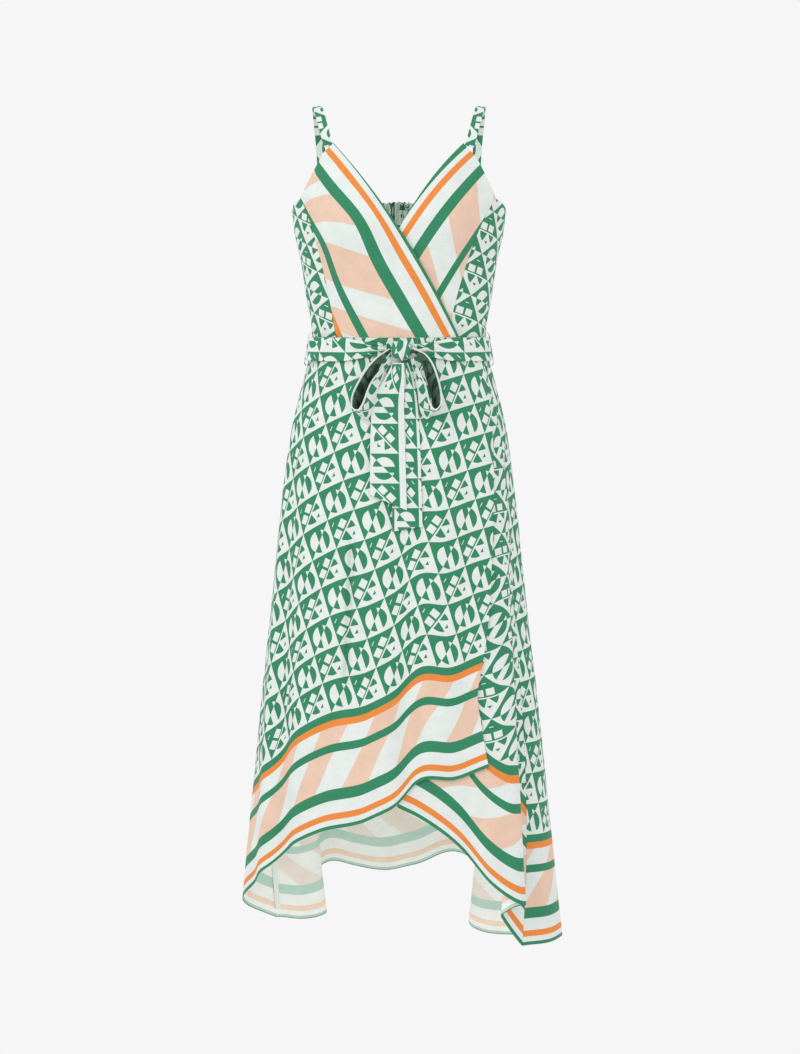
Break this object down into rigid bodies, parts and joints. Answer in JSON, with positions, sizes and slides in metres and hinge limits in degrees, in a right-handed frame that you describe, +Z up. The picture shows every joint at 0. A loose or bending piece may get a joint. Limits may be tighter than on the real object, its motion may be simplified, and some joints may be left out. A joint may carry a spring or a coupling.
{
  "type": "wrap dress",
  "caption": "Sleeveless midi wrap dress on shoulder straps, hollow as worn, with a high-low hem and a tie belt in a bow.",
  "frame": {"origin": "midway between the tops of the two shoulder straps, where the shoulders hold the dress", "axes": "+Z up; the front faces -Y; +X is the wearer's left"},
  "size_m": [0.4889, 0.3542, 1.2698],
  "materials": {
    "bodice": "printed viscose crepe, soft, matt",
    "skirt": "printed viscose crepe, soft, matt",
    "strap": "printed viscose crepe, soft, matt",
    "tie": "printed viscose crepe, sewn double, matt"
  },
  "bodies": {
    "root": {"bodice_front_over": "bodice", "bodice_front_under": "bodice", "bodice_side_right": "bodice", "bodice_side_left": "bodice", "bodice_back": "bodice", "strap_right": "strap", "strap_left": "strap", "skirt_front_over": "skirt", "skirt_front_under": "skirt", "skirt_back": "skirt", "belt": "tie", "bow_knot": "tie", "bow_loop_right": "tie", "bow_loop_left": "tie", "bow_tail_right": "tie", "bow_tail_left": "tie", "belt_loop_right": "tie", "belt_loop_left": "tie"}
  },
  "joints": []
}
